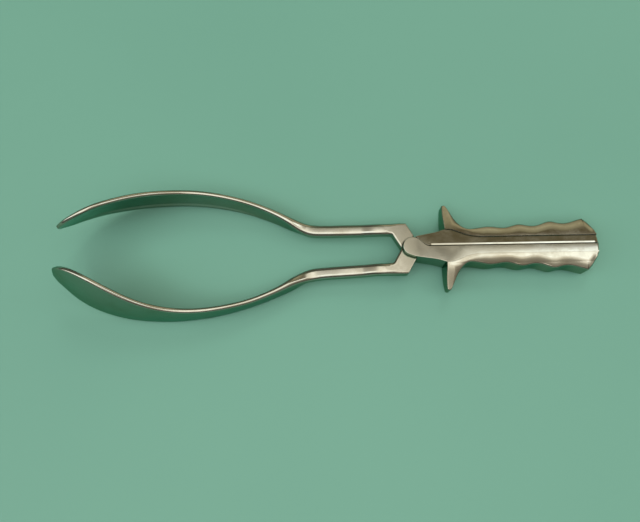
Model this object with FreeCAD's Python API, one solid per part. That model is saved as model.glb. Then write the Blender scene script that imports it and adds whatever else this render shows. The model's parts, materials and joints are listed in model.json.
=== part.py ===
import FreeCAD, Part
import math
import os

# Delivery forceps with an English lock, drawn in millimetres.
# Drawing frame: the pivot of the lock is the origin, the blades point to -X, the handles to +X,
# and +Z is the side that faces up. The last step sets the closed instrument down on a table.

V = FreeCAD.Vector

# Driving dimensions
handleThick = 17.4       # height of a closed handle over both flat sides
handleGap = 0.6          # slot between the two closed handles
plateGap = 0.08          # running clearance between the sliding plates of the lock
wallGap = 0.12           # running clearance between a plate and the wall of its socket
openRange = 15.0         # degrees that the branches open
flangeThick = 3.9        # flange that covers the other branch in the lock
flangeRadius = 6.1       # rounded end of the flange, centred on the pivot
crossAngle = 30.0        # direction of the crossing bars' side faces, from the X axis
crossInner = 5.6         # pivot to the inner side face of a crossing bar
crossOuter = 6.2         # pivot to the outer side face of a crossing bar
shankSide = 7.8          # shank bar, nearly square with rounded edges
shankHigh = 7.8
shankCorner = 2.6
tangSeam = 5.7           # pivot line to the seam between tang and grip
tangStep = 0.45          # the grip stands this much above the tang on the seam side
tangChamfer = 1.1        # bevel along the slot on the seam side
stepStart = 12.0         # pivot to where the step and the bevel begin
wallSkin = 2.4           # sheet thickness of the hollow grip
crownRise = 0.5          # crown of the grip on its seam side
crownPeak = 8.5          # pivot line to the top of that crown
rollRadius = 36.0        # the grip's flush side is flat beside the tang and rolls down over this radius
edgeRound = 1.3          # rounding along the grooves
recessDepth = 0.7        # hollow of the blade's inner face between its rims
recessShare = 0.75       # share of the blade's width that is hollowed
outerShares = (0.5, 0.0, -0.5)
innerShares = (-0.84, -0.70, -0.35, 0.0, 0.35, 0.70, 0.84)
faceSpans = [(0, 1), (1, 2), (2, 6), (6, 7), (7, 8), (8, 9), (9, 10), (10, 11), (11, 12), (12, 13),
             (13, 17), (17, 18), (18, 19), (19, 20), (20, 21), (21, 22)]
bladeBulge = 0.035       # crown of the blade's outer face, as a share of its half width
heelSection = [4.3, 3.4, 2.5]   # half height, half thickness and edge radius where the heel bends
shankOffset = 13.8       # pivot line to the middle of a shank
barCorner = 2.2          # rounding of a crossing bar's outer corner
barCrook = 1.2           # rounding where a crossing bar leaves its branch
cheekFront = [(2.4, 6.8), (15.9, 9.3)]           # front edge of the cheek, from the socket to the horn
throat = [(3.9, 4.9), (7.6, 1.5), (10.2, 0.3)]   # socket's open side, from the cheek to the slot
webThroat = [(3.92, -4.67), (7.6, -1.2)]         # the same side on the flange
webFront = [(1.9, 7.2), (-2.6, 5.5), (-4.0, 0.0)]    # front of the flange, round its cap
barEnd = 24.0            # pivot to where a crossing bar ends inside the tang
reach = 80.0             # length of a cutting block past the pivot, well past the metal

halfThick = handleThick / 2
halfGap = handleGap / 2
plateTop = halfThick - flangeThick - plateGap
plateLow = plateGap / 2
flangeLow = halfThick - flangeThick

# The blade of the +Y side: pairs of points on the centre of its upper and lower rim,
# from the heel to the tip, with the half thickness and the share of the recess there.
bladeStations = [
    ((-78.5, 20.4, -0.6), (-78.5, 20.6, -13.0), 2.7, 0.0),
    ((-85.0, 24.1, 0.4), (-86.0, 24.2, -15.0), 2.1, 0.0),
    ((-94.0, 28.5, 1.2), (-95.5, 28.3, -15.7), 1.8, 0.0),
    ((-106.0, 33.2, 2.2), (-108.5, 33.0, -16.0), 1.65, 0.4),
    ((-120.0, 36.9, 3.9), (-124.0, 37.2, -16.5), 1.6, 0.9),
    ((-136.0, 39.4, 6.0), (-141.0, 40.0, -17.1), 1.6, 1.0),
    ((-150.0, 39.8, 8.1), (-157.0, 41.2, -17.7), 1.6, 1.0),
    ((-162.0, 38.6, 11.0), (-172.0, 40.9, -17.8), 1.6, 1.0),
    ((-173.0, 36.1, 15.2), (-186.0, 39.5, -17.0), 1.6, 1.0),
    ((-184.0, 31.9, 20.7), (-198.0, 36.9, -14.8), 1.6, 1.0),
    ((-194.0, 26.9, 25.8), (-207.5, 33.7, -11.6), 1.55, 0.9),
    ((-203.0, 22.2, 28.8), (-215.5, 29.6, -7.5), 1.5, 0.6),
    ((-211.5, 18.0, 28.4), (-221.5, 25.0, -2.4), 1.4, 0.25),
    ((-219.0, 15.2, 25.2), (-226.0, 20.4, 3.2), 1.3, 0.0),
    ((-225.0, 13.8, 20.2), (-228.6, 17.0, 8.6), 1.2, 0.0),
    ((-228.0, 13.4, 16.6), (-229.3, 14.9, 12.2), 1.1, 0.0),
]

# The shank of the +Y side: centre, with the heel bend at its far end
shankStations = [
    (0.0, shankOffset), (-13.0, shankOffset), (-30.0, 14.0), (-48.0, 14.4), (-60.0, 14.8), (-66.0, 15.5),
    (-71.5, 17.2),
]
rightLevel = 0.5         # middle of the right branch's shank at the lock, above the pivot
leftLevel = -0.9         # and of the left branch's
shankDrop = 5.5          # the shank's heel lies this far below the pivot
shankRun = 64.0          # over this length

# Outer edge of the grip: finger grooves between crests, from the horn to the butt
gripEdge = [
    (36.5, 11.3), (43.5, 11.9), (50.8, 12.9), (56.0, 12.3), (60.6, 11.9), (65.5, 12.9), (71.0, 14.1),
    (76.0, 13.3), (80.4, 12.9), (86.0, 14.3), (91.8, 15.8), (96.5, 14.8), (100.6, 14.4), (106.5, 15.6),
    (113.0, 17.5),
]
# Seam between tang and grip, a chain of short flats
seamEdge = [
    (21.6, 11.2), (26.0, 10.9), (30.0, 9.4), (34.0, 7.7), (38.5, 6.4), (44.0, tangSeam), (121.5, tangSeam),
]
# Horn, the finger rest in front of the grip
hornFront = [(21.6, 11.2), (21.3, 14.0), (20.9, 19.0), (20.7, 24.0), (20.8, 27.6)]
hornBack = [(23.6, 27.9), (24.9, 24.6), (27.0, 19.9), (29.9, 15.2), (32.8, 12.5), (36.5, 11.3)]
hornTipHalf = 4.2        # half height of the horn at its tip
hornTip = 28.0
buttEnd = 121.0          # pivot to the end of the handle on the slot line
buttMid = (118.6, 10.8)


def face(points):
    return Part.Face(Part.makePolygon([V(*p) for p in points] + [V(*points[0])]))


def prism(points, low, high):
    return face([(x, y, low) for x, y in points]).extrude(V(0, 0, high - low))


def halfPlane(angle, offset, low, high, inside):
    # a block on one side of a vertical plane, whose normal points along angle
    a = math.radians(angle)
    n = V(math.cos(a), math.sin(a), 0)
    s = V(-n.y, n.x, 0)
    deep = n * (offset - (reach if inside else -reach))
    corners = [n * offset + s * reach, n * offset - s * reach, deep - s * reach, deep + s * reach]
    return prism([(c.x, c.y) for c in corners], low, high)


def section(centre, across, outward, half, thick, corner, bulge, hollow):
    # outline of a bar with rounded edges that can be curved across and hollowed on its inner face;
    # it runs down the outer side, round the lower rim, up the inner side and round the upper rim
    turns = [math.radians(a) for a in (15, 45, 75)]
    top = [(half - corner + corner * math.cos(t), thick - corner + corner * math.sin(t)) for t in turns]
    low = [(-z, y) for z, y in reversed(top)]
    outer = top + [((half - corner) * k, thick) for k in outerShares] + low
    inner = [(z, -y) for z, y in reversed(low)] + [((half - corner) * k, -thick) for k in innerShares]
    inner += [(z, -y) for z, y in reversed(top)]
    pts = []
    for z, y in outer + inner:
        k = z / half
        w = bulge * (1 - k * k)
        if y < 0 and abs(k) < recessShare:
            w += hollow
        pts.append(centre + across * z + outward * (y + w))
    return pts


def barAndBlade(level):
    # shank and blade of the +Y side as one swept form; level is the shank's height at the lock
    frames = []
    for x, y in shankStations:
        k = min(1.0, max(0.0, (x - shankStations[1][0]) / (-shankRun - shankStations[1][0])))
        c = V(x, y, level + (-shankDrop - level) * k)
        frames.append([c, V(0, 0, 1), shankHigh / 2, shankSide / 2, shankCorner, 0.0, 0.0])
    frames[-1][2:5] = heelSection
    for top, low, thick, share in bladeStations:
        t = V(*top)
        b = V(*low)
        half = (t - b).Length / 2 + thick * 0.55
        bulge = bladeBulge * half
        frames.append([(t + b) * 0.5, (t - b).normalize(), half, thick, thick * 0.9, bulge, share * recessDepth])
    rings = []
    for i, (c, up, half, thick, corner, bulge, hollow) in enumerate(frames):
        a = frames[max(0, i - 1)][0]
        b = frames[min(len(frames) - 1, i + 1)][0]
        out = up.cross(b - a)
        out = out * (-1.0 if out.y < 0 else 1.0)
        out.normalize()
        rings.append(section(c, up, out, half, thick, corner, bulge, hollow))
    return skin(rings, [f[0] for f in frames])


def skin(rings, centres):
    # long edge lines run through the sections, and faces span from line to line
    along = [0.0]
    for a, b in zip(centres[:-1], centres[1:]):
        along.append(along[-1] + (b - a).Length)
    lines = []
    for j in range(len(rings[0])):
        line = Part.BSplineCurve()
        line.interpolate(Points=[ring[j] for ring in rings], Parameters=along)
        lines.append(line)
    faces, starts, ends = [], [], []
    for first, last in faceSpans:
        surface = span([lines[j % len(lines)] for j in range(first, last + 1)])
        faces.append(surface.toShape())
        starts.append(surface.uIso(along[0]).toShape())
        ends.append(surface.uIso(along[-1]).toShape())
    caps = [Part.Face(Part.Wire(Part.__sortEdges__(rim))) for rim in (starts, ends)]
    shell = Part.makeShell(faces + caps)
    shell.sewShape()
    solid = Part.makeSolid(shell)
    if solid.Volume < 0:
        solid.reverse()
    return solid


def span(lines):
    # a face through two edge lines is ruled; through more it is curved
    middle = lines[0].NbPoles * 2 // 3
    gaps = [(a.getPole(middle) - b.getPole(middle)).Length for a, b in zip(lines[:-1], lines[1:])]
    marks = [sum(gaps[:k]) for k in range(len(lines))]
    rows = []
    for i in range(1, lines[0].NbPoles + 1):
        points = [line.getPole(i) for line in lines]
        if len(points) == 2:
            row = Part.BSplineCurve()
            row.buildFromPolesMultsKnots(points, [2, 2], [0.0, 1.0], False, 1)
        else:
            row = Part.BSplineCurve()
            row.interpolate(Points=points, Parameters=marks)
        rows.append(row)
    surface = Part.BSplineSurface()
    surface.buildFromPolesMultsKnots([row.getPoles() for row in rows], lines[0].getMultiplicities(),
                                     rows[0].getMultiplicities(), lines[0].getKnots(), rows[0].getKnots(),
                                     False, False, 3, rows[0].Degree)
    return surface


def lockBody():
    # lock and tang of the branch whose handle lies at +Y; its crossing bar is above the middle
    outer = halfPlaneLine(-crossAngle, crossOuter)
    inner = halfPlaneLine(-crossAngle, -crossInner)
    side = shankOffset + shankSide / 2
    near = shankOffset - shankSide / 2
    start = -shankOffset - barCorner
    crook = (inner(flangeRadius + 0.2), flangeRadius + 0.2)
    back = (barEnd, seamEdge[0][1] - 0.6)
    bar = prism([
        (start, -side), (outer(-side), -side), (outer(halfGap), halfGap), (barEnd, halfGap), back,
        cheekFront[1], cheekFront[0], crook, (inner(-near), -near), (start, -near),
    ], plateLow, plateTop)
    bar = bar.makeFillet(barCorner, edgesAt(bar, (outer(-side), -side)))
    bar = bar.makeFillet(barCrook, edgesAt(bar, crook))

    tang = prism([cheekFront[0]] + throat + [(buttEnd + wallSkin, halfGap)] + list(reversed(seamEdge))
                 + [cheekFront[1]], -halfThick, halfThick)
    cap = Part.makeCylinder(flangeRadius, flangeThick, V(0, 0, -halfThick))
    web = prism(webThroat + [throat[-1], (barEnd, halfGap), (barEnd, seamEdge[0][1]), cheekFront[1]] + webFront,
                -halfThick, -flangeLow)
    body = tang.fuse([cap, web]).removeSplitter()

    # the other branch's crossing bar slides in this socket, through the whole opening range
    free = []
    for turn in (0.0, openRange):
        free.append(halfPlane(crossAngle - turn, crossOuter + wallGap, -flangeLow - 0.001, plateLow, True))
    body = body.cut(free)
    return body.fuse(bar).removeSplitter()


def halfPlaneLine(angle, offset):
    a = math.radians(angle)
    return lambda y: (offset - y * math.sin(a)) / math.cos(a)


def edgesAt(shape, spot):
    # vertical edges that stand over the given plan point
    found = []
    for e in shape.Edges:
        p, q = e.Vertexes[0].Point, e.Vertexes[-1].Point
        if math.hypot(p.x - spot[0], p.y - spot[1]) + math.hypot(q.x - spot[0], q.y - spot[1]) < 0.01:
            found.append(e)
    return found


def buttCurve():
    return Part.Arc(V(*gripEdge[-1], 0), V(*buttMid, 0), V(buttEnd, 0.0, 0)).toShape()


def handlePlan():
    # outline of one whole handle half behind the lock, as a face that cuts tang and grip alike
    grooves = Part.BSplineCurve()
    grooves.interpolate([V(x, y, 0) for x, y in gripEdge])
    back = Part.BSplineCurve()
    back.interpolate([V(x, y, 0) for x, y in hornBack])
    frontCurve = Part.BSplineCurve()
    frontCurve.interpolate([V(x, y, 0) for x, y in hornFront])
    tip = Part.makePolygon([V(*hornFront[-1], 0), V(*hornBack[0], 0)])
    root = V(*hornFront[0], 0)
    close = Part.makePolygon([V(buttEnd, 0, 0), V(0, 0, 0), V(0, root.y, 0), root])
    edges = [frontCurve.toShape()] + tip.Edges + [back.toShape(), grooves.toShape(), buttCurve()] + close.Edges
    return Part.Face(Part.Wire(Part.__sortEdges__(edges)))


def crownBlock():
    # cross-section of the grip, run along the handle: crowned on the seam side, and on the flush side
    # flat beside the tang, then rolled down toward the grooves
    top = halfThick + 0.1
    far = hornTip + 2
    crown = Part.Arc(V(0, -2, top - 0.2), V(0, crownPeak, top + crownRise), V(0, far, top - 3.0)).toShape()

    def roll(y):
        return V(0, y, rollRadius - halfThick - math.sqrt(rollRadius ** 2 - (y - tangSeam) ** 2))
    under = Part.Arc(roll(tangSeam), roll((tangSeam + far) / 2), roll(far)).toShape()
    rest = Part.makePolygon([V(0, far, top - 3.0), roll(far)])
    back = Part.makePolygon([roll(tangSeam), V(0, -2, -halfThick), V(0, -2, top - 0.2)])
    outline = Part.Face(Part.Wire([crown] + rest.Edges + [under] + back.Edges))
    return outline.extrude(V(buttEnd + wallSkin, 0, 0))


def hornTaper():
    # the horn is as high as the grip at its root and thins toward its tip
    root = gripEdge[0][1] - 0.3
    up = halfThick + 1.0
    far = hornTip + 2
    half = [(-5, up), (root, up), (root + 3, halfThick - 0.2), (far, hornTipHalf - 0.3)]
    outline = half + [(y, -z) for y, z in reversed(half)]
    horn = face([(0, y, z) for y, z in outline]).extrude(V(gripEdge[0][0], 0, 0))
    return horn.fuse(Part.makeBox(reach + hornTip, reach / 2, 2 * up, V(gripEdge[0][0], -5, -up)))


def gripShell(plan):
    corner = (hornFront[0][0] - 10, hornFront[0][1])
    side = prism(seamEdge + [(buttEnd + wallSkin, reach), (corner[0], reach), corner], -reach / 2, reach / 2)
    body = plan.extrude(V(0, 0, reach))
    body.translate(V(0, 0, -reach / 2))
    body = body.common(side).common(crownBlock()).common(hornTaper())
    # hollow behind the finger grooves, one wall inside them and closed by the tang
    inset = wallSkin * 1.1
    rim = [(x, y - inset) for x, y in gripEdge[:-1:2]]
    last = (gripEdge[-1][0] - 1, gripEdge[-1][1] - inset * 1.5)
    ends = [last, (buttMid[0] - inset, buttMid[1]), (buttMid[0] - inset, tangSeam)]
    hollow = prism([(seamEdge[-2][0], tangSeam), (seamEdge[-2][0], rim[1][1])] + rim[2:] + ends,
                   -halfThick + wallSkin, halfThick - wallSkin)
    return body, hollow


def tidy(shape):
    solids = shape.Solids
    return max(solids, key=lambda s: s.Volume)


def roundOver(shape, radius, test):
    picked = [e for e in shape.Edges if test(e)]
    if not picked:
        print("no edges to round at radius", radius)
        return shape
    try:
        out = shape.makeFillet(radius, picked)
        if out.isValid() and out.Volume > 0.5 * shape.Volume:
            return out
        print("rounding not valid at radius", radius)
    except Exception as err:
        print("rounding left out at radius", radius, err)
    return shape


def buildGrip(plan):
    body, hollow = gripShell(plan)
    body = tidy(body)

    def rimEdge(e):
        # the long edges over the grooves, not those on the seam
        mid = e.valueAt((e.FirstParameter + e.LastParameter) / 2)
        long = e.BoundBox.XLength > gripEdge[-1][0] / 4 and e.BoundBox.ZLength < halfThick / 2
        return long and abs(mid.z) > halfThick / 2 and seamDistance(mid) > 0.05
    body = roundOver(body, edgeRound, rimEdge)
    return tidy(body.cut(hollow))


def seamDistance(p):
    seam = Part.makePolygon([V(x, y, p.z) for x, y in seamEdge])
    return seam.distToShape(Part.Vertex(p))[0]


def buildLock(plan):
    body = lockBody()
    whole = plan.extrude(V(0, 0, reach))
    whole.translate(V(0, 0, -reach / 2))
    frontPart = Part.makeBox(reach, reach, reach, V(barEnd - reach, -reach / 2, -reach / 2))
    body = body.common(whole.fuse(frontPart))
    # lower the seam side and bevel it along the slot
    low = halfThick - tangStep
    body = body.cut(Part.makeBox(reach * 2, reach, reach, V(stepStart, -reach / 2, low)))
    bevel = face([(stepStart, halfGap, low - tangChamfer), (stepStart, halfGap + tangChamfer, low),
                  (stepStart, halfGap - 2, low + 1), (stepStart, halfGap - 2, low - tangChamfer - 1)])
    return tidy(body.cut(bevel.extrude(V(reach * 2, 0, 0))))


def turnOver(shape):
    out = shape.copy()
    out.rotate(V(0, 0, 0), V(1, 0, 0), 180)
    return out


def setDown(shapes):
    # pitch the closed instrument until blades and butts reach one level, then centre it over the origin
    def lows(pitch):
        front, rear = 99.0, 99.0
        for name, shape in shapes.items():
            s = shape.copy()
            s.rotate(V(0, 0, 0), V(0, 1, 0), pitch)
            box = s.optimalBoundingBox(False)
            if name.endswith("forging"):
                front = min(front, box.ZMin)
            else:
                rear = min(rear, box.ZMin)
        return front, rear
    a, b = 0.0, 4.0
    for _ in range(24):
        pitch = (a + b) / 2
        front, rear = lows(pitch)
        if rear > front:
            a = pitch
        else:
            b = pitch
    whole = FreeCAD.BoundBox()
    for shape in shapes.values():
        shape.rotate(V(0, 0, 0), V(0, 1, 0), pitch)
        whole.add(shape.optimalBoundingBox(False))
    shift = V(-whole.Center.x, -whole.Center.y, -whole.ZMin)
    for shape in shapes.values():
        shape.translate(shift)
    axis = FreeCAD.Rotation(V(0, 1, 0), pitch).multVec(V(0, 0, 1))
    print("pitch", round(pitch, 4), "pivot", [round(c, 4) for c in shift], "axis", [round(c, 6) for c in axis])
    print("size", [round(c, 3) for c in (whole.XLength, whole.YLength, whole.ZLength)])


def main():
    os.makedirs("parts", exist_ok=True)
    plan = handlePlan()
    lock = buildLock(plan)
    grip = buildGrip(plan)

    # right branch: its bar crosses above, its blade lies at -Y
    bar = barAndBlade(rightLevel).mirror(V(0, 0, 0), V(0, 1, 0))
    bar = bar.cut(halfPlane(-crossAngle, crossOuter, -reach, reach, False))
    right = tidy(lock.fuse(bar).removeSplitter())
    # left branch: the same lock turned over, its blade at +Y
    bar = barAndBlade(leftLevel).cut(halfPlane(crossAngle, crossOuter, -reach, reach, False))
    left = tidy(turnOver(lock).fuse(bar).removeSplitter())

    shapes = {
        "right_forging": right,
        "right_grip": grip,
        "left_forging": left,
        "left_grip": turnOver(grip),
    }
    setDown(shapes)
    for name, shape in shapes.items():
        shape.exportStep("parts/%s.step" % name)
        print(name, shape.isValid(), round(shape.Volume), shape.BoundBox)


main()
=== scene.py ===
import json
import math

import bpy
import numpy as np
from mathutils import Matrix, Vector


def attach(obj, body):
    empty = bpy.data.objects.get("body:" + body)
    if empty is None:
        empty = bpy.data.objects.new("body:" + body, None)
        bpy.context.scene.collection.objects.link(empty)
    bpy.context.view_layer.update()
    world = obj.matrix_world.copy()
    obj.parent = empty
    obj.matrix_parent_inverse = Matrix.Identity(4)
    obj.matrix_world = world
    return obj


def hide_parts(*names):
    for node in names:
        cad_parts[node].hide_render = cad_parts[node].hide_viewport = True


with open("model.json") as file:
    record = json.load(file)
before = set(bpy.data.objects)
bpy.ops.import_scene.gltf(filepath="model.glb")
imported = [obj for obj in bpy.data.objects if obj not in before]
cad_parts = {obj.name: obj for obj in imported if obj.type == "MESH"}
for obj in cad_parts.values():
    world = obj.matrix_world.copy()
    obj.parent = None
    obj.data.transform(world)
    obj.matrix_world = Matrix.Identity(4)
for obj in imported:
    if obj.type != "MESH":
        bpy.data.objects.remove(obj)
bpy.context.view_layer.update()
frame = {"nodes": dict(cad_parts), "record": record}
print("frame loaded:", list(frame["nodes"]))

# Shapes are worked out in millimetres about the pivot of the lock, blades toward -X, handles
# toward +X; place() then pitches them as the closed forceps rests and moves them to the row frame.
hinge = frame["record"]["behaviour"]["joints"][0]
pitch = math.atan2(hinge["axis"][0], hinge["axis"][2])
pivot = np.array(hinge["pos_m"])


def turned(p):
    # rotation about Y by the resting pitch
    c, s = math.cos(pitch), math.sin(pitch)
    return np.stack([p[..., 0] * c + p[..., 2] * s, p[..., 1], p[..., 2] * c - p[..., 0] * s], -1)


def place(p):
    return turned(p) * 0.001 + pivot


def splineMatrix(knots, samples):
    # cubic spline as one matrix: each sample is a weighted sum of the knots' values,
    # with second derivatives from the usual three-term rows and not-a-knot ends
    t = np.asarray(knots, float)
    s = np.clip(np.asarray(samples, float), t[0], t[-1])
    n, h = len(t), np.diff(t)
    a, b = np.zeros((n, n)), np.zeros((n, n))
    i = np.arange(1, n - 1)
    a[i, i - 1], a[i, i], a[i, i + 1] = h[:-1], 2 * (h[:-1] + h[1:]), h[1:]
    b[i, i - 1], b[i, i], b[i, i + 1] = 6 / h[:-1], -6 / h[:-1] - 6 / h[1:], 6 / h[1:]
    a[0, :3] = [h[1], -h[0] - h[1], h[0]]
    a[-1, -3:] = [h[-1], -h[-2] - h[-1], h[-2]]
    curve = np.linalg.solve(a, b)
    k = np.clip(np.searchsorted(t, s, side="right") - 1, 0, n - 2)
    w = h[k]
    u, v = (t[k + 1] - s) / w, (s - t[k]) / w
    unit = np.eye(n)
    bend = ((u ** 3 - u) * w * w / 6)[:, None] * curve[k]
    bend += ((v ** 3 - v) * w * w / 6)[:, None] * curve[k + 1]
    return u[:, None] * unit[k] + v[:, None] * unit[k + 1] + bend


def chords(points):
    # distance run along a chain of points
    p = np.asarray(points, float)
    return np.concatenate([[0.0], np.cumsum(np.linalg.norm(np.diff(p, axis=0), axis=1))])


def smoothCurve(points, step):
    # spline through the points, sampled about every step millimetres
    p = np.asarray(points, float)
    t = chords(p)
    s = np.linspace(0, t[-1], max(3, int(t[-1] / step) + 1))
    return splineMatrix(t, s) @ p


def ease(x, low, high):
    # 0 below low, 1 above high, and 3k^2 - 2k^3 between
    k = np.clip((np.asarray(x, float) - low) / (high - low), 0, 1)
    return k * k * (3 - 2 * k)


def makeMesh(name, shells, body, node, material):
    # shells: (points, normals, quads, polygons); one mesh object out of closed shells, facing outwards
    verts, norms, faces, base = [], [], [], 0
    for points, normals, quads, polys in shells:
        p = place(points)
        q = turned(normals)
        a, b, c, d = (p[quads[:, k]] for k in range(4))
        volume = np.einsum("ij,ij->i", a, np.cross(b, c)).sum()
        volume += np.einsum("ij,ij->i", a, np.cross(c, d)).sum()
        for poly in polys:
            r = p[poly]
            volume += np.einsum("j,ij->i", r[0], np.cross(r[1:-1], r[2:])).sum()
        if volume < 0:
            quads = quads[:, ::-1]
            polys = [poly[::-1] for poly in polys]
        verts.append(p)
        norms.append(q)
        faces += (quads + base).tolist() + [(np.asarray(poly) + base).tolist() for poly in polys]
        base += len(p)
    mesh = bpy.data.meshes.new(name)
    mesh.from_pydata(np.concatenate(verts).tolist(), [], faces)
    mesh.polygons.foreach_set("use_smooth", np.ones(len(mesh.polygons), bool))
    mesh.normals_split_custom_set_from_vertices(np.concatenate(norms).tolist())
    mesh.update()
    piece = bpy.data.objects.new(name, mesh)
    bpy.context.scene.collection.objects.link(piece)
    piece.data.materials.append(material)
    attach(piece, body)
    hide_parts(node)
    print(name, len(mesh.polygons), "faces")
    return piece


def gridQuads(rows, cols):
    # quads of a grid whose columns close on themselves
    i, j = np.meshgrid(np.arange(rows - 1), np.arange(cols), indexing="ij")
    k = (j + 1) % cols
    quads = np.stack([i * cols + j, i * cols + k, (i + 1) * cols + k, (i + 1) * cols + j], -1)
    return quads.reshape(-1, 4)


def gridNormals(grid):
    # cross product of the two directions of a grid whose columns close on themselves
    along = np.gradient(grid, axis=0)
    around = np.roll(grid, -1, 1) - np.roll(grid, 1, 1)
    n = np.cross(along, around)
    n /= np.linalg.norm(n, axis=-1, keepdims=True) + 1e-12
    return n


bladeShape = {
    # centre of the upper and of the lower rim, half thickness, share of the hollow, from heel to tip
    "stations": [
        ((-78.5, 20.4, -0.6), (-78.5, 20.6, -13.0), 2.7, 0.0),
        ((-85.0, 24.1, 0.4), (-86.0, 24.2, -15.0), 2.1, 0.0),
        ((-94.0, 28.5, 1.2), (-95.5, 28.3, -15.7), 1.8, 0.0),
        ((-106.0, 33.2, 2.2), (-108.5, 33.0, -16.0), 1.65, 0.4),
        ((-120.0, 36.9, 3.9), (-124.0, 37.2, -16.5), 1.6, 0.9),
        ((-136.0, 39.4, 6.0), (-141.0, 40.0, -17.1), 1.6, 1.0),
        ((-150.0, 39.8, 8.1), (-157.0, 41.2, -17.7), 1.6, 1.0),
        ((-162.0, 38.6, 11.0), (-172.0, 40.9, -17.8), 1.6, 1.0),
        ((-173.0, 36.1, 15.2), (-186.0, 39.5, -17.0), 1.6, 1.0),
        ((-184.0, 31.9, 20.7), (-198.0, 36.9, -14.8), 1.6, 1.0),
        ((-194.0, 26.9, 25.8), (-207.5, 33.7, -11.6), 1.55, 0.9),
        ((-203.0, 22.2, 28.8), (-215.5, 29.6, -7.5), 1.5, 0.6),
        ((-211.5, 18.0, 28.4), (-221.5, 25.0, -2.4), 1.4, 0.25),
        ((-219.0, 15.2, 25.2), (-226.0, 20.4, 3.2), 1.3, 0.0),
        ((-225.0, 13.8, 20.2), (-228.54, 17.0, 8.6), 1.2, 0.0),
        ((-227.92, 13.4, 16.6), (-229.22, 14.9, 12.2), 1.1, 0.0),
    ],
    "shank": [(0.0, 13.8), (-13.0, 13.8), (-30.0, 14.0), (-48.0, 14.4), (-60.0, 14.8), (-66.0, 15.5),
              (-71.5, 17.2)],
    "shankHalf": 3.9, "shankCorner": 2.6, "drop": 5.5, "dropStart": 13.0, "run": 64.0,
    "heel": (4.3, 3.4, 2.5), "rimShare": 0.52, "cornerShare": 0.9,
    "bulge": 0.028, "hollow": 0.7, "hollowRim": (0.60, 0.80), "tipDome": 0.9, "domeRound": 0.6,
    "elbowStart": -16.9, "straighten": 16.0,
    "lengthSteps": 620, "cornerSteps": 8, "outerSteps": 17, "innerSteps": 47,
    "outerSpan": 0.94, "innerSpan": 0.97,
}


def ringSpec(b):
    # unit outline of a bar with rounded edges: where each point's corner centre lies,
    # and its way out from there
    steps = b["cornerSteps"]
    t = np.linspace(0, math.pi / 2, steps)
    outer = np.linspace(b["outerSpan"], -b["outerSpan"], b["outerSteps"])
    inner = np.linspace(-b["innerSpan"], b["innerSpan"], b["innerSteps"])
    one, two = np.ones(steps), np.ones(len(outer))
    cz = np.concatenate([one, outer, -one, -one, inner, one])
    az = np.concatenate([np.cos(t), 0 * two, -np.sin(t), -np.cos(t), 0 * inner, np.sin(t)])
    cy = np.concatenate([one, two, one, -one, -np.ones(len(inner)), -one])
    ay = np.concatenate([np.sin(t), two, np.cos(t), -np.sin(t), -np.ones(len(inner)), -np.cos(t)])
    return cz, az, cy, ay


def barRings(spec, half, thick, corner, bulge, hollow):
    # height and outward offset of every ring point for arrays of section sizes; the broad sides
    # are crowned by bulge, and the inner one sinks by hollow between its rims
    cz, az, cy, ay = spec
    sizes = (half, thick, corner, bulge, hollow)
    half, thick, corner, bulge, hollow = (np.asarray(v, float)[:, None] for v in sizes)
    z = (half - corner) * cz + corner * az
    y = (thick - corner) * cy + corner * ay
    k = z / half
    sink = hollow * (1 - ease(np.abs(k), *bladeShape["hollowRim"])) * (ay < -0.99)
    return z, y + bulge * (1 - k * k) + sink


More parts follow.
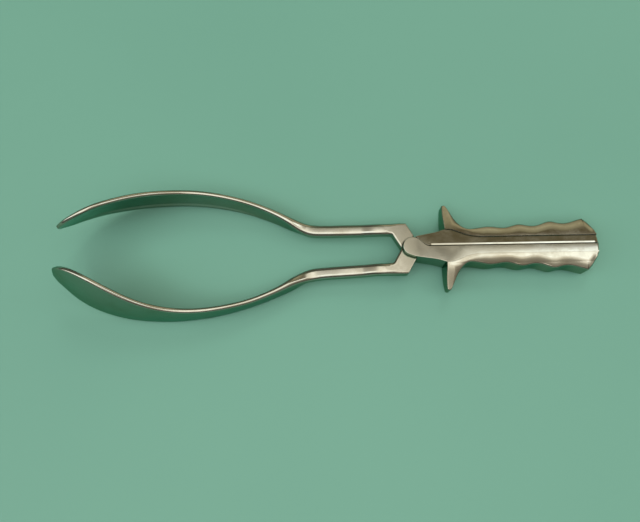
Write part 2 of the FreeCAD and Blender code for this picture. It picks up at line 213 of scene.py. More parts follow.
def bladeSurface(level):
    # bar of the +Y side: rings at the stations, splined along their middles, straight and at the
    # given level where it meets the elbow, and a domed tip
    b = bladeShape
    spec = ringSpec(b)
    shank = np.array(b["shank"])
    k = np.clip((shank[:, 0] + b["dropStart"]) / (b["dropStart"] - b["run"]), 0, 1)
    centres = np.column_stack([shank, level + (-b["drop"] - level) * k])
    top = np.array([s[0] for s in b["stations"]])
    low = np.array([s[1] for s in b["stations"]])
    thick = np.array([s[2] for s in b["stations"]])
    share = np.array([s[3] for s in b["stations"]])
    span = np.linalg.norm(top - low, axis=1)
    n = len(shank)
    centres = np.concatenate([centres, (top + low) / 2])
    up = np.concatenate([np.tile([0.0, 0.0, 1.0], (n, 1)), (top - low) / span[:, None]])
    half = np.concatenate([np.full(n, b["shankHalf"]), span / 2 + thick * b["rimShare"]])
    wide = np.concatenate([np.full(n, b["shankHalf"]), thick])
    corner = np.concatenate([np.full(n, b["shankCorner"]), thick * b["cornerShare"]])
    half[n - 1], wide[n - 1], corner[n - 1] = b["heel"]
    bulge = np.concatenate([np.zeros(n), b["bulge"] * half[n:]])
    hollow = np.concatenate([np.zeros(n), share * b["hollow"]])
    way = np.empty_like(centres)
    way[1:-1] = centres[2:] - centres[:-2]
    way[0] = centres[1] - centres[0]
    way[-1] = centres[-1] - centres[-2]
    out = np.cross(up, way)
    out *= np.where(out[:, 1:2] < 0, -1, 1) / np.linalg.norm(out, axis=1, keepdims=True)
    z, y = barRings(spec, half, wide, corner, bulge, hollow)
    rings = centres[:, None] + up[:, None] * z[..., None] + out[:, None] * y[..., None]

    along = chords(centres)
    first = -b["elbowStart"]
    s = np.linspace(first, along[-1] - b["tipDome"], b["lengthSteps"])
    m = splineMatrix(along, s)
    body = np.einsum("uk,kvc->uvc", m, rings)
    middle = m @ centres
    straight = middle.copy()
    straight[:, 1], straight[:, 2] = shank[0, 1], level
    body += ((straight - middle) * (1 - ease(-middle[:, :1], first, first + b["straighten"])))[:, None]

    # the tip's dome: the last ring drawn in to its middle along a quarter circle
    turn = np.linspace(0, math.pi / 2, 9)[1:-1]
    last, before = body[-1], body[-2]
    mid = last.mean(0)
    step = mid - before.mean(0)
    step /= np.linalg.norm(step)
    drawn = (last - mid) * np.cos(turn)[:, None, None] ** b["domeRound"]
    dome = mid + drawn + step * (b["tipDome"] * np.sin(turn))[:, None, None]
    body = np.concatenate([body, dome])
    return body, gridNormals(body)


def sweptShell(grid, normals):
    # a swept bar closed with one flat face over each end
    rows, cols = grid.shape[:2]
    inside = grid.mean(1, keepdims=True)
    if np.einsum("ijk,ijk->", grid - inside, normals) < 0:
        normals = -normals
    caps = [np.arange(cols), np.arange((rows - 1) * cols, rows * cols)[::-1]]
    return grid.reshape(-1, 3), normals.reshape(-1, 3), gridQuads(rows, cols), caps


def cornerLoop(points, step):
    # closed outline from (x, y, cut, edge, kind): the corner is rounded in plan from a cut's length before
    # it to one after it, and edge and kind (0 round, 1 bevel) belong to the side that starts there
    p = np.array([q[:2] for q in points], float)
    fillet = np.array([q[2] for q in points], float)
    tags = np.array([q[3:5] for q in points], float)
    before, after = np.roll(p, 1, 0) - p, np.roll(p, -1, 0) - p
    lb, la = np.linalg.norm(before, axis=1), np.linalg.norm(after, axis=1)
    ub, ua = before / lb[:, None], after / la[:, None]
    cut = np.minimum(fillet, 0.48 * np.minimum(lb, la))
    loop, tag = [], []
    for i in range(len(p)):
        j = (i + 1) % len(p)
        start, end = p[i] + ub[i] * cut[i], p[i] + ua[i] * cut[i]
        old = tags[i - 1]
        if cut[i] > 1e-6:
            w = np.linspace(0, 1, 9)[:, None]
            # a quadratic corner: three-point curve from side to side
            curve = start * (1 - w) ** 2 + p[i] * 2 * w * (1 - w) + end * w ** 2
            loop.append(curve)
            tag.append(old + (tags[i] - old) * ease(w, 0, 1))
        else:
            loop.append(p[i][None])
            tag.append(((old + tags[i]) / 2)[None])
        stop = p[j] + ub[j] * cut[j]
        length = np.linalg.norm(stop - end)
        count = int(length / step)
        if count > 1:
            w = np.linspace(0, 1, count + 1)[1:-1, None]
            loop.append(end + (stop - end) * w)
            tag.append(np.tile(tags[i], (count - 1, 1)))
    loop, tag = np.concatenate(loop), np.concatenate(tag)
    area = (loop[:, 0] * np.roll(loop[:, 1], -1) - np.roll(loop[:, 0], -1) * loop[:, 1]).sum()
    if area < 0:
        loop, tag = loop[::-1], tag[::-1]
    return loop, tag


# profiles of an edge, in lengths of that edge: inset, drop and the normal's angle above the plan
roundEdge = np.array([(1 - math.cos(t), 1 - math.sin(t), t) for t in np.linspace(0, math.pi / 2, 9)])
bevelEdge = np.array([
    (0, 0.24, 0), (0.02, 0.19, 0.5), (0.05, 0.17, 1.41), (0.3, 0.128, 1.41), (0.6, 0.08, 1.41),
    (0.9, 0.03, 1.41), (1.0, 0.01, 1.49), (1.04, 0.0, 1.5708), (1.08, 0, 1.5708),
])
buttingEdge = 0.02  # where a plate butts on another: almost sharp


def buttingTag(tag):
    # tags of a side that butts on another plate
    return np.column_stack([np.full(len(tag), buttingEdge), np.zeros(len(tag))])


def plate(loop, lowTag, highTag, low, high, fall=0.0, endX=None):
    # the outline carried up from low to high, its edges drawn in along a rounded or bevelled profile;
    # the high side slopes down toward +Y by fall, and an end at endX keeps a full rounded section
    if endX is not None:
        y = loop[loop[:, 0] < endX + 0.01, 1]
        keep = (loop[:, 0] > endX + 0.01) | (loop[:, 1] > y.max() - 0.01) | (loop[:, 1] < y.min() + 0.01)
        loop, lowTag, highTag = loop[keep], lowTag[keep], highTag[keep]
    d = np.roll(loop, -1, 0) - np.roll(loop, 1, 0)
    n = np.stack([d[:, 1], -d[:, 0]], -1)
    if endX is not None:
        for i in np.flatnonzero(loop[:, 0] < endX + 0.01):
            n[i] = [0, 1 if loop[i, 1] > y.mean() else -1]
    n /= np.linalg.norm(n, axis=1, keepdims=True) + 1e-9
    rows, vectors = [], []
    for sign, tag, level in ((-1, lowTag, low), (1, highTag, high)):
        r, kind = tag[:, 0], tag[:, 1:2]
        shape = roundEdge[None] * (1 - kind[..., None]) + bevelEdge[None] * kind[..., None]
        order = range(len(roundEdge)) if sign > 0 else reversed(range(len(roundEdge)))
        for j in order:
            inset, drop, angle = (shape[:, j, q] for q in range(3))
            xy = loop - n * (inset * r)[:, None]
            slope = fall if sign > 0 else 0.0
            z = level - sign * drop * r - slope * xy[:, 1]
            rows.append(np.column_stack([xy, z]))
            v = np.column_stack([n * np.cos(angle)[:, None], sign * np.sin(angle)])
            v[:, 1] += slope * v[:, 2]
            vectors.append(v / np.linalg.norm(v, axis=1, keepdims=True))
    grid, normals = np.stack(rows), np.stack(vectors)
    cols = len(loop)
    return (grid.reshape(-1, 3), normals.reshape(-1, 3), gridQuads(len(rows), cols),
            [np.arange(cols)[::-1], np.arange((len(rows) - 1) * cols, len(rows) * cols)])


def overturned(shell):
    # half a turn about X: the same piece for the other branch
    points, normals, quads, polys = shell
    flip = np.array([1, -1, -1])
    return points * flip, normals * flip, quads, polys


def mirrored(shell):
    # across the XZ plane
    points, normals, quads, polys = shell
    flip = np.array([1, -1, 1])
    return points * flip, normals * flip, quads, polys


elbowShape = {
    "level": 0.82, "half": 3.9, "middle": 13.8, "crossAngle": 30.0, "inner": -5.6, "outer": 6.2,
    "barLow": 0.04, "barHigh": 4.72, "barFoot": -0.1, "start": -17.15, "outerTurn": -10.0, "innerTurn": -14.6,
    "shankEdge": 2.6, "midEdge": 1.7, "barEdge": 0.6, "fineEdge": 0.1, "footEdge": 0.8,
    "barEnd": [(12.0, 0.3), (12.0, 8.6), (2.4, 6.8)], "cheek": [(2.3, -8.35, 0.2, 0.3), (0.4, -7.3, 0.2, 0.1)],
    "round": 6.2, "roundClear": 0.14, "barArc": (4, 86), "cheekArc": (86, 1),
    "arcSteps": 15, "outlineStep": 0.5,
}


def elbowPlates():
    # right branch: where the shank turns into the crossing bar. The flush plate carries the bar under the
    # other branch's flange; the other plate is the shank's full height and stops clear of the other bar
    e = elbowShape
    a = math.radians(e["crossAngle"])
    far, near = -e["middle"] - e["half"], -e["middle"] + e["half"]

    def crossing(side, y):
        # x of one side of the crossing bar where it is y off the middle
        return (side + y * math.sin(a)) / math.cos(a)

    big, mid, fine = e["shankEdge"], e["midEdge"], e["fineEdge"]
    shank = [(e["start"], near, 0, big, 0), (e["start"], far, 0, big, 0), (e["outerTurn"], far, 3.0, mid, 0)]
    shank += [(crossing(e["outer"], far), far, 1.3, e["barEdge"], 0)]
    foot = e["barFoot"]
    corner = [(crossing(e["inner"], foot), foot, 0.1, mid * e["footEdge"], 0)]
    corner += [(crossing(e["inner"], near), near, 2.6, mid, 0), (e["innerTurn"], near, 1.0, big, 0)]
    r, wide = e["round"], e["round"] + e["roundClear"]
    arc = [(-r * math.cos(q), r * math.sin(q), 0, fine, 0)
           for q in np.radians(np.linspace(*e["barArc"], e["arcSteps"]))]
    root = e["barEnd"][0][1]
    reach = [(crossing(e["outer"], root), root, 0.2, fine, 0)] + [(x, y, 0.2, fine, 0) for x, y in e["barEnd"]]
    loop, tag = cornerLoop(shank + reach + arc[::-1] + corner, e["outlineStep"])
    flush = plate(loop, buttingTag(tag), tag, e["barLow"], e["barHigh"], endX=e["start"])
    cheek = [(*q, 0) for q in e["cheek"]]
    cheek += [(-wide * math.cos(q), -wide * math.sin(q), 0, fine, 0)
              for q in np.radians(np.linspace(*e["cheekArc"], e["arcSteps"]))]
    loop, tag = cornerLoop(shank + cheek + corner, e["outlineStep"])
    lower = plate(loop, tag, buttingTag(tag), e["level"] - e["half"], e["barLow"], endX=e["start"])
    return [flush, lower]


handleShape = {
    "half": 8.7, "gap": 0.3, "seamY": 5.7, "step": 0.3, "fall": 0.055, "bevel": 1.1,
    "flangeLow": 4.8, "flangeRadius": 6.1, "capEnds": ((3.92, -4.67), (-2.6, 5.5)), "capSteps": 60,
    # corners with their cuts: outer front of the lock, throat of the tang, web of the flange
    "shoulderFront": (15.9, 9.3, 3.0), "barSeat": (2.4, 6.8, 0.4), "capFront": (1.9, 7.2, 4.0),
    "throat": [(3.9, 4.9, 1.2), (7.6, 1.5, 2.5)], "slotRoot": (10.2, 1.5), "web": (7.6, -1.2, 3.0),
    "fineEdge": 0.22, "frontEdge": 0.35, "capEdge": 0.45, "webEdge": 0.3, "seamEdge": 0.05, "outlineStep": 0.8,
    "seam": [(21.6, 11.2), (26.0, 10.9), (30.0, 9.4), (34.0, 7.7), (38.5, 6.4), (44.0, 5.7)],
    "grooves": [(36.5, 11.3), (43.5, 11.9), (50.8, 12.9), (56.0, 12.3), (60.6, 11.9),
                (65.5, 12.9), (71.0, 14.1), (76.0, 13.3), (80.4, 12.9), (86.0, 14.3), (91.8, 15.8),
                (96.5, 14.8), (100.6, 14.4), (106.5, 15.6), (113.0, 17.5)],
    "hornMiddle": [(21.6, 11.2), (23.9, 15.0), (23.3, 21.0), (22.7, 26.8)],
    "hornFront": [(21.6, 11.2), (21.4, 14.0), (21.1, 19.0), (21.1, 24.0), (21.5, 28.3)],
    "hornBack": [(23.9, 28.5), (25.7, 25.0), (28.1, 19.9), (31.1, 15.2), (33.7, 12.6), (36.5, 11.3)],
    "hornTip": (22.75, 28.9), "hornBackShare": 0.62, "lineStep": 0.35,
    "butt": [(113.0, 17.5), (118.6, 10.8), (121.0, 0.0)],
    "seamLift": 0.2, "crown": (0.055, 0.004), "shoulder": 6.6, "rollRatio": 2.3,
    "hornRoot": 13.0, "hornSlope": 0.262, "edge": 0.8, "hornEdge": 0.6, "buttEdge": 1.2,
}


def threePointArc(points, steps):
    # circle through three points, sampled evenly by angle
    (ax, ay), (bx, by), (cx, cy) = points
    d = 2 * (ax * (by - cy) + bx * (cy - ay) + cx * (ay - by))
    aa, bb, cc = ax ** 2 + ay ** 2, bx ** 2 + by ** 2, cx ** 2 + cy ** 2
    ux = (aa * (by - cy) + bb * (cy - ay) + cc * (ay - by)) / d
    uy = (aa * (cx - bx) + bb * (ax - cx) + cc * (bx - ax)) / d
    r = math.hypot(ax - ux, ay - uy)
    a0, a1 = math.atan2(ay - uy, ax - ux), math.atan2(cy - uy, cx - ux)
    t = np.linspace(a0, a1, steps)
    return np.column_stack([ux + r * np.cos(t), uy + r * np.sin(t)])


def handlePlates():
    # right branch: the tang plate, stepped down and bevelled on its seam side, and the flange's plate
    # that is flush with the tang's other side
    h = handleShape
    butt = threePointArc(h["butt"], 60)
    buttTang = butt[butt[:, 1] < h["seamY"] - 0.05]
    buttTang = buttTang[buttTang[:, 1] > h["gap"] + 0.05][::-1]
    seamEnd = butt[np.argmin(np.abs(butt[:, 1] - h["seamY"]))]
    slotEnd = butt[np.argmin(np.abs(butt[:, 1] - h["gap"]))]
    fine, step, hair = h["fineEdge"], h["outlineStep"], h["seamEdge"]
    back = [(slotEnd[0], h["gap"], 0.5, h["buttEdge"], 0)]
    back += [(x, y, 0, h["buttEdge"], 0) for x, y in buttTang]
    back += [(seamEnd[0], h["seamY"], 0.1, hair, 0)]
    seam = [(x, y, 1.5, hair, 0) for x, y in reversed(h["seam"][1:])]
    seam += [(*h["seam"][0], 0.3, h["frontEdge"], 0)]
    rootX, rootCut = h["slotRoot"]
    throat = [(*q, fine, 0) for q in h["throat"]] + [(rootX, h["gap"], rootCut, fine, 0)]
    front = [(*h["shoulderFront"], h["frontEdge"], 0), (*h["barSeat"], fine, 0)]
    tangLoop, tag = cornerLoop(front + throat + back + seam, step)
    high = tag.copy()
    slotSide = (np.abs(tangLoop[:, 1] - h["gap"]) < 0.02) & (tangLoop[:, 0] > 12.0) & (tangLoop[:, 0] < 119)
    high[slotSide] = [h["bevel"], 1]
    tang = plate(tangLoop, buttingTag(tag), high, -h["flangeLow"], h["half"] - h["step"], h["fall"])

    r = h["flangeRadius"]
    start, end = (math.atan2(y, x) for x, y in h["capEnds"])
    t = np.linspace(start, end - 2 * math.pi, h["capSteps"])
    cap = [(r * math.cos(q), r * math.sin(q), 0, h["capEdge"], 0) for q in t]
    front = [(*h[k], h["capEdge"], 0) for k in ("capFront", "shoulderFront")]
    web = [(rootX, h["gap"], rootCut, h["webEdge"], 0), (*h["web"], h["webEdge"], 0)]
    seamLow = [(*h["seam"][0], 0.3, hair, 0)] + [(x, y, 1.5, hair, 0) for x, y in h["seam"][1:]]
    backLow = [(seamEnd[0], h["seamY"], 0.1, h["buttEdge"], 0)]
    backLow += [(x, y, 0, h["buttEdge"], 0) for x, y in buttTang[::-1]]
    backLow += [(slotEnd[0], h["gap"], 0.5, h["webEdge"], 0)]
    flangeLoop, tag = cornerLoop(web + cap + front + seamLow + backLow, step)
    flange = plate(flangeLoop, tag, buttingTag(tag), -h["half"], -h["flangeLow"])
    # the flush face stays flat: its normals lean over into the grip's crowned face along the seam
    points, normals = flange[:2]
    lean = h["crown"][0] * ease(points[:, 1], h["gap"], h["seamY"]) * ease(points[:, 0], h["seam"][0][0], 32)
    normals[:, 1] += lean * (normals[:, 2] < -0.9)
    return [tang, flange]


def gripShell():
    # s runs along the grip's outline from the horn's root round the grooves to the butt, v round the
    # section: out over the seam side, down the scalloped wall, back under the flush side and up the seam
    h = handleShape
    front = smoothCurve(h["hornFront"], h["lineStep"])
    back = smoothCurve(h["hornBack"], h["lineStep"])
    tip = threePointArc([h["hornFront"][-1], h["hornTip"], h["hornBack"][0]], 9)
    grooves = smoothCurve(h["grooves"], h["lineStep"])
    butt = threePointArc(h["butt"], 90)
    butt = butt[butt[:, 1] > h["seamY"] - 0.01]
    line = np.concatenate([front[:-1], tip[:-1], back[:-1], grooves[:-1], butt])
    s = chords(line)
    s1 = chords(front)[-1]
    s2 = s1 + chords(tip)[-1]
    s3 = s2 + chords(back)[-1]
    s4 = s3 + chords(grooves)[-1]
    step = np.gradient(line, axis=0)
    n = np.stack([step[:, 1], -step[:, 0]], -1)
    n *= -1 / np.linalg.norm(n, axis=1, keepdims=True)
    # each section starts on the middle line of the horn, then on the seam
    seam = np.array(h["seam"] + [(butt[-1, 0], h["seamY"])])
    middle = smoothCurve(h["hornMiddle"], h["lineStep"])
    up = chords(middle) / chords(middle)[-1]
    hornEnd = s2 + (s3 - s2) * h["hornBackShare"]
    seamStart, grooveEnd = h["seam"][0][0], h["grooves"][-1][0]
    t = np.interp(s, [0, s1, s2, hornEnd], [0, 1, 1, 0])
    seamX = np.interp(s, [0, hornEnd, s3, s4, s[-1]], [seamStart, seamStart, 34.0, grooveEnd, butt[-1, 0]])
    alongSeam = np.column_stack([seamX, np.interp(seamX, seam[:, 0], seam[:, 1])])
    alongHorn = np.column_stack([np.interp(t, up, middle[:, 0]), np.interp(t, up, middle[:, 1])])
    root = np.where((s < hornEnd)[:, None], alongHorn, alongSeam)
    edge = np.interp(s, [0, 4, s2, s3, s4 - 4, s4 + 2, s[-1]],
                     [0.35, h["hornEdge"], h["hornEdge"], h["edge"], h["edge"], h["buttEdge"], h["buttEdge"]])
    edge = np.minimum(edge, 0.35 + 0.5 * np.linalg.norm(line - root, axis=1))

    def horn(x, y):
        # how far the horn's faces have drawn in from the handle's half height
        w = 1.6
        soft = w * np.log1p(np.exp(np.clip((y - h["hornRoot"]) / w, -30, 30)))
        return h["hornSlope"] * soft * (1 - ease(x, 31, 40))

    # both faces roll over toward the grooves on an arc that starts a shoulder's width inside the edge
    room = np.linalg.norm(line - root, axis=1)
    share = np.interp(s, [0, s2, s3, s3 + 12, s4, s[-1]], [0.42, 0.42, 0.6, 0.9, 0.9, 0.9])
    shoulder = np.minimum(h["shoulder"], share * room) * ease(room, 1.0, 6.0)

    def rolled(xy):
        e = np.clip(shoulder - np.linalg.norm(line - xy, axis=1), 0, None)
        r = np.maximum(shoulder, 0.01) * h["rollRatio"]
        return r - np.sqrt(r * r - e * e)

    def seamFace(xy):
        # falls away from the seam on a long arc
        x, y = xy[:, 0], xy[:, 1]
        d = np.clip(y - h["seamY"], 0, 30)
        lift = h["seamLift"] * ease(x, seamStart, 30)
        return h["half"] + lift - d * d / 150 * ease(x, 24, 44) - horn(x, y) - rolled(xy)

    def flushFace(xy):
        # slopes and then curves away from the seam
        x, y = xy[:, 0], xy[:, 1]
        d = np.clip(y - h["seamY"], 0, 6.5)
        crown = (h["crown"][0] * d + h["crown"][1] * d * d) * ease(x, seamStart, 32)
        return -(h["half"] - crown - horn(x, y) - rolled(xy))

    rows = []
    across = ease(np.linspace(0, 1, 29), 0, 1) * 0.25 + np.linspace(0, 1, 29) * 0.75
    turns = np.linspace(0, math.pi / 2, 9)
    inner = line - n * edge[:, None]

    def steep(face):
        # angle of the face's slope where the small edge rounding takes over
        inward = inner - n * 0.05
        return np.arctan(np.abs(face(inner) - face(inward)) / 0.05)

    def upright(face, xy, sign):
        # the face's own normal, from its slopes both ways
        e = 0.02
        gx = (face(xy + [e, 0]) - face(xy - [e, 0])) / (2 * e)
        gy = (face(xy + [0, e]) - face(xy - [0, e])) / (2 * e)
        v = np.column_stack([-gx, -gy, np.ones(len(xy))]) * sign
        return v / np.linalg.norm(v, axis=1, keepdims=True)

    vectors = []
    for w in across:
        xy = root + (inner - root) * w
        rows.append(np.column_stack([xy, seamFace(xy)]))
        vectors.append(upright(seamFace, xy, 1))
    for face, sign in ((seamFace, 1), (flushFace, -1)):
        z = face(inner)
        start = steep(face)
        band, lean = [], []
        for t in turns[1:]:
            angle = start + (math.pi / 2 - start) * t / (math.pi / 2)
            out = edge * (np.sin(angle) - np.sin(start)) / (1 - np.sin(start))
            down = edge * (np.cos(start) - np.cos(angle)) / (1 - np.sin(start))
            band.append(np.column_stack([inner + n * out[:, None], z - sign * down]))
            lean.append(np.column_stack([n * np.sin(angle)[:, None], sign * np.cos(angle)]))
        if sign > 0:
            rows += band
            vectors += lean
            wallTop = band[-1][:, 2]
        else:
            wallLow = band[-1][:, 2]
            for w in np.linspace(0, 1, 7)[1:-1]:
                rows.append(np.column_stack([line, wallTop * (1 - w) + wallLow * w]))
                vectors.append(np.column_stack([n, 0 * s]))
            rows += band[::-1]
            vectors += lean[::-1]
    for w in across[::-1]:
        xy = root + (inner - root) * w
        rows.append(np.column_stack([xy, flushFace(xy)]))
        vectors.append(upright(flushFace, xy, -1))
    grid, normals = np.stack(rows, 1), np.stack(vectors, 1)
    count, cols = grid.shape[:2]
    return (grid.reshape(-1, 3), normals.reshape(-1, 3), gridQuads(count, cols),
            [np.arange(cols), np.arange((count - 1) * cols, count * cols)[::-1]])


class Wire:
    # a node's socket that takes part in ordinary sums
    def __init__(self, bench, socket):
        self.bench, self.socket = bench, socket

    def __add__(self, other):
        return self.bench.sum("ADD", self, other)

    def __radd__(self, other):
        return self.bench.sum("ADD", other, self)

    def __sub__(self, other):
        return self.bench.sum("SUBTRACT", self, other)

    def __rsub__(self, other):
        return self.bench.sum("SUBTRACT", other, self)

    def __mul__(self, other):
        return self.bench.sum("MULTIPLY", self, other)

    def __rmul__(self, other):
        return self.bench.sum("MULTIPLY", other, self)


class Bench:
    # the nodes of one material or world, which all come in through its methods
    def __init__(self, name, owner=None):
        self.material = owner or bpy.data.materials.new(name)
        self.material.use_nodes = True
        self.tree = self.material.node_tree
        self.tree.nodes.clear()

    def sum(self, operation, a, b):
        return self.node("ShaderNodeMath", {"operation": operation}, {0: a, 1: b})

    def node(self, kind, settings=None, inputs=None, out=0):
        n = self.tree.nodes.new(kind)
        for key, value in (settings or {}).items():
            if key == "stops":
                ramp = n.color_ramp
                while len(ramp.elements) < len(value):
                    ramp.elements.new(0.5)
                for element, (place, colour) in zip(ramp.elements, value):
                    element.position, element.color = place, colour
            else:
                setattr(n, key, value)
        for key, value in (inputs or {}).items():
            if isinstance(value, Wire):
                self.tree.links.new(value.socket, n.inputs[key])
            else:
                n.inputs[key].default_value = value
        return Wire(self, n.outputs[out]) if len(n.outputs) else None

    def noise(self, at, scale, detail=3.0, roughness=0.55, distortion=0.0):
        return self.node("ShaderNodeTexNoise", {}, {"Vector": at, "Scale": scale, "Detail": detail,
                                                    "Roughness": roughness, "Distortion": distortion})

    def range(self, value, low, high, toLow=0.0, toHigh=1.0):
        return self.node("ShaderNodeMapRange", {"interpolation_type": "SMOOTHSTEP"},
                         {"Value": value, "From Min": low, "From Max": high, "To Min": toLow, "To Max": toHigh})

    def mix(self, factor, a, b, blend="MIX"):
        return self.node("ShaderNodeMix", {"data_type": "RGBA", "blend_type": blend},
                         {0: factor, 6: a, 7: b}, out=2)


def linear(r, g, b):
    # screen colour 0-255 to the linear colour that a shader takes
    parts = [c / 255 / 12.92 if c <= 10 else ((c / 255 + 0.055) / 1.055) ** 2.4 for c in (r, g, b)]
    return (*parts, 1.0)


forgedLook = {
    "bright": (181, 179, 168), "stain": (158, 150, 128), "stainShare": 0.4,
    "rough": (0.08, 0.19), "scratch": 0.035, "pits": 0.05,
}
gripLook = {
    "bright": (176, 172, 158), "stain": (152, 141, 118), "stainShare": 0.45,
    "rough": (0.09, 0.20), "scratch": 0.04, "pits": 0.04,
}
steelPattern = {
    # of each noise: scale, detail, roughness and distortion
    "slow": (28.0, 4.0, 0.6, 0.4), "cloud": (90.0, 5.0, 0.65), "lines": (2.2, 3.0, 0.7),
    "grain": (2600.0, 2.0, 0.6),
    "drawn": (60.0, 900.0, 900.0), "smudge": (0.42, 0.62), "pitted": (0.60, 0.75), "clouded": (0.35, 0.68),
    # the contact-shade entries paint shade into the colour where two surfaces meet: a near black and its
    # ambient-occlusion reach
    "pitColour": (70, 58, 46), "contactShadeColour": (22, 24, 18), "contactShadeReach": 0.0016, "contactShadeRange": (0.45, 0.95),
    # a dark green tint of the reflections at grazing angles: painted shade and painted reflection of the shaded
    # green floor
    "grazingShadeTint": (0.26, 0.56, 0.45, 1.0), "reliefStrength": 0.12, "reliefDepth": 0.0004,
}


def polishedSteel(name, look):
    # clouded, finely lined and pitted steel, with painted shade darkening its colour where two surfaces meet
    p = steelPattern
    b = Bench(name)
    at = b.node("ShaderNodeTexCoord", {}, {}, out=3)
    slow = b.noise(at, *p["slow"])
    cloud = b.noise(at, *p["cloud"])
    drawn = b.node("ShaderNodeMapping", {}, {"Vector": at, "Scale": p["drawn"]})
    lines = b.noise(drawn, *p["lines"])
    grain = b.noise(at, *p["grain"])
    smudge = b.range(slow * 0.6 + cloud * 0.4, *p["smudge"])
    colour = b.mix(smudge * look["stainShare"], linear(*look["bright"]), linear(*look["stain"]))
    pits = b.range(grain, *p["pitted"])
    colour = b.mix(pits * look["pits"] * 6.0, colour, linear(*p["pitColour"]))
    # painted contact shade: where ambient occlusion finds another surface close by, the colour is mixed toward
    # a near black
    clear = b.node("ShaderNodeAmbientOcclusion", {"samples": 8}, {"Distance": p["contactShadeReach"]}, out=1)
    colour = b.mix(b.range(clear, *p["contactShadeRange"]), linear(*p["contactShadeColour"]), colour)
    rough = b.range(cloud, *p["clouded"], *look["rough"]) + lines * 0.05 + pits * 0.08
    relief = lines * look["scratch"] + grain * look["pits"] + slow * 0.05
    bump = b.node("ShaderNodeBump", {}, {"Strength": p["reliefStrength"], "Distance": p["reliefDepth"],
                                         "Height": relief})
    # the Specular Tint darkens and greens the grazing reflections, which is painted shade
    shader = b.node("ShaderNodeBsdfPrincipled", {}, {"Base Color": colour, "Metallic": 1.0, "Roughness": rough,
                                                     "Specular Tint": p["grazingShadeTint"], "Normal": bump})
    b.node("ShaderNodeOutputMaterial", {}, {"Surface": shader})
    print(name, "mixed")
    return b.material


forgedSteel = polishedSteel("forgedSteel", forgedLook)
gripSteel = polishedSteel("gripSteel", gripLook)

tangAndFlange = handlePlates()
grip = gripShell()

rightBar = mirrored(sweptShell(*bladeSurface(elbowShape["level"])))
leftBar = sweptShell(*bladeSurface(-elbowShape["level"]))
elbow = elbowPlates()
rightPlates = elbow + tangAndFlange
leftPlates = [overturned(s) for s in rightPlates]
makeMesh("rightForging", [rightBar] + rightPlates, "right_branch", "right_forging", forgedSteel)
makeMesh("leftForging", [leftBar] + leftPlates, "left_branch", "left_forging", forgedSteel)
makeMesh("rightGrip", [grip], "right_branch", "right_grip", gripSteel)
makeMesh("leftGrip", [overturned(grip)], "left_branch", "left_grip", gripSteel)

for name, node in frame["nodes"].items():
    node.data.materials.clear()
    node.data.materials.append(gripSteel if "grip" in name else forgedSteel)

floorLook = {"low": (110, 164, 148), "high": (122, 178, 160), "size": 5.0}
tableTop = Bench("tableTop")
at = tableTop.node("ShaderNodeTexCoord", {}, {}, out=3)
patch = tableTop.noise(at, 2.2, 3.0, 0.5)
tint = tableTop.mix(patch, linear(*floorLook["low"]), linear(*floorLook["high"]))
shader = tableTop.node("ShaderNodeBsdfPrincipled", {}, {"Base Color": tint, "Roughness": 0.6})
tableTop.node("ShaderNodeOutputMaterial", {}, {"Surface": shader})
half = floorLook["size"] / 2
mesh = bpy.data.meshes.new("floor")
corners = [(-half, -half, 0), (half, -half, 0), (half, half, 0), (-half, half, 0)]
mesh.from_pydata(corners, [], [(0, 1, 2, 3)])
floor = bpy.data.objects.new("floor", mesh)
bpy.context.scene.collection.objects.link(floor)
floor.data.materials.append(tableTop.material)
print("floor laid")

lamps = [
    # name, place, width, height, radiance, colour, seen in reflections
    ("backSoft", (0.25, 0.95, 1.35), 0.45, 0.45, 4.2, (1.0, 0.98, 0.95), False),
    ("frontSoft", (-0.45, -0.95, 1.45), 0.5, 0.5, 3.0, (1.0, 0.98, 0.95), False),
    ("coolWindow", (0.74, 0.12, 1.30), 0.30, 0.40, 1.0, (0.74, 0.88, 1.0), True),
]
for name, spot, width, height, radiance, colour, seen in lamps:
    light = bpy.data.lights.new(name, "AREA")
    light.shape, light.size, light.size_y, light.color = "RECTANGLE", width, height, colour
    light.energy = radiance * math.pi * width * height
    lamp = bpy.data.objects.new(name, light)
    lamp.location = spot
    lamp.rotation_euler = (Vector((0, 0, 0)) - Vector(spot)).to_track_quat("-Z", "Y").to_euler()
    lamp.visible_glossy = seen
    bpy.context.scene.collection.objects.link(lamp)
print(len(lamps), "lamps")

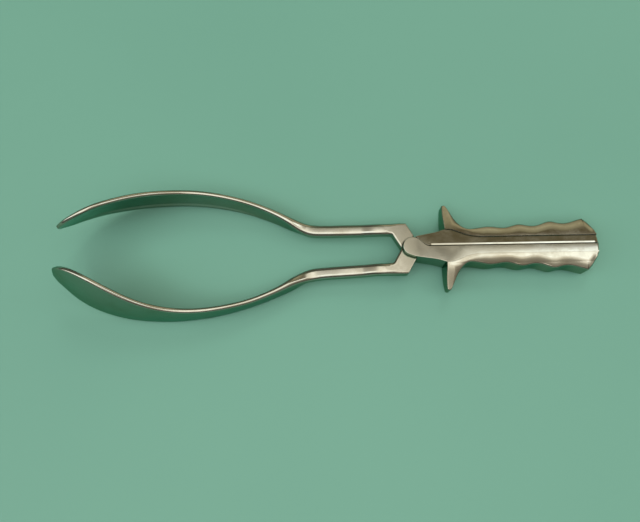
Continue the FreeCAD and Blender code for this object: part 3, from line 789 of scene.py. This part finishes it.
# the room: a bright ceiling on the near side, a brown and darker far side, dark at the horizon.
# The ramps run over the angle from overhead toward +Y, from -100 to +100 degrees.
roomZones = {
    # degrees from overhead toward +Y, and red, green and blue there
    "tips": [
        (-100, 0.25, 0.3, 0.26), (-78, 0.22, 0.26, 0.22), (-62, 0.1, 0.11, 0.09), (-46, 0.02, 0.02, 0.02),
        (-37, 0.3, 0.3, 0.28), (-30, 1.9, 2.0, 1.95), (-6, 2.1, 2.2, 2.1), (6, 1.5, 1.5, 1.4),
        (14, 0.6, 0.56, 0.48), (20, 0.45, 0.42, 0.34), (30, 0.2, 0.19, 0.14), (44, 0.06, 0.06, 0.05),
        (62, 0.14, 0.15, 0.12), (98, 0.2, 0.22, 0.18),
    ],
    "shanks": [
        (-100, 0.2, 0.24, 0.2), (-80, 0.18, 0.2, 0.17), (-64, 0.06, 0.06, 0.05), (-54, 0.06, 0.06, 0.05),
        (-42, 1.2, 1.15, 1.05), (-32, 1.9, 1.85, 1.7), (15.5, 1.95, 1.9, 1.72), (17.5, 1.15, 1.12, 0.98),
        (20, 0.6, 0.58, 0.48), (24, 0.32, 0.33, 0.23), (34, 0.19, 0.23, 0.14), (60, 0.15, 0.18, 0.12),
        (98, 0.2, 0.22, 0.18),
    ],
    "handles": [
        (-100, 0.2, 0.24, 0.2), (-80, 0.18, 0.2, 0.17), (-62, 0.22, 0.2, 0.17), (-30, 0.4, 0.37, 0.31),
        (-16, 0.62, 0.59, 0.5), (-7, 1.6, 1.56, 1.4), (8.5, 1.72, 1.68, 1.48), (13.0, 0.95, 0.92, 0.78),
        (15.6, 0.42, 0.4, 0.33), (18.5, 0.19, 0.16, 0.1), (23, 0.15, 0.12, 0.06), (30, 0.38, 0.35, 0.23),
        (55, 0.75, 0.7, 0.48), (80, 0.3, 0.28, 0.2), (98, 0.2, 0.22, 0.18),
    ],
}
roomLook = {
    "reach": 100, "peak": 3.0, "tipsBorder": (-0.26, -0.06), "handlesBorder": (0.186, 0.208),
    "rise": (0.0, 0.22, 0.35, 1.0), "backdrop": (0.42, 0.60, 0.52, 1.0),
}
world = bpy.data.worlds.new("studio")
bpy.context.scene.world = world
world.use_nodes = True
room = Bench("studio", world)
way = room.node("ShaderNodeTexCoord", {}, {})
split = room.node("ShaderNodeSeparateXYZ", {}, {0: way})
wx, wy, wz = (Wire(room, split.socket.node.outputs[k]) for k in range(3))
reach, peak = roomLook["reach"], roomLook["peak"]
angle = room.sum("ARCTAN2", wy, wz) * (180 / math.pi / (2 * reach)) + 0.5
ramps = []
for zone in roomZones.values():
    stops = [((q + reach) / (2 * reach), (r / peak, g / peak, b / peak, 1.0)) for q, r, g, b in zone]
    ramps.append(room.node("ShaderNodeValToRGB", {"stops": stops}, {0: angle}))
aside = room.sum("ARCTAN2", wx, wz)
glow = room.mix(room.range(aside, *roomLook["tipsBorder"]), ramps[0], ramps[1])
glow = room.mix(room.range(aside, *roomLook["handlesBorder"]), glow, ramps[2])
rise = room.range(wz, *roomLook["rise"])
seen = room.node("ShaderNodeLightPath", {}, {})
glow = room.mix(1.0, glow, (peak, peak, peak, 1.0), "MULTIPLY")
back = room.node("ShaderNodeBackground", {}, {"Color": glow, "Strength": rise})
plain = room.node("ShaderNodeBackground", {}, {"Color": roomLook["backdrop"], "Strength": 1.0})
both = room.node("ShaderNodeMixShader", {}, {0: seen, 1: back, 2: plain})
room.node("ShaderNodeOutputWorld", {}, {"Surface": both})
print("room of", len(ramps), "zones")

# camera: place and axes found from the photograph, in millimetres about the pivot
cameraShape = {"centre": (-61.97, -102.45, 356.68), "right": (0.99984, -0.01792, 0.0),
               "down": (-0.01731, -0.96579, -0.25874), "forward": (0.00464, 0.25869, -0.96595), "lens": 31.5}
data = bpy.data.cameras.new("camera")
data.lens, data.sensor_width = cameraShape["lens"], 36.0
data.clip_start, data.clip_end = 0.01, 20.0
camera = bpy.data.objects.new("camera", data)
bpy.context.scene.collection.objects.link(camera)
axes = [turned(np.array(cameraShape[k])) for k in ("right", "down", "forward")]
spot = place(np.array(cameraShape["centre"]))
m = Matrix.Identity(4)
for i in range(3):
    m[i][0], m[i][1], m[i][2], m[i][3] = axes[0][i], -axes[1][i], -axes[2][i], spot[i]
camera.matrix_world = m
bpy.context.scene.camera = camera
bpy.context.scene.view_settings.view_transform = "Standard"
print("camera set")
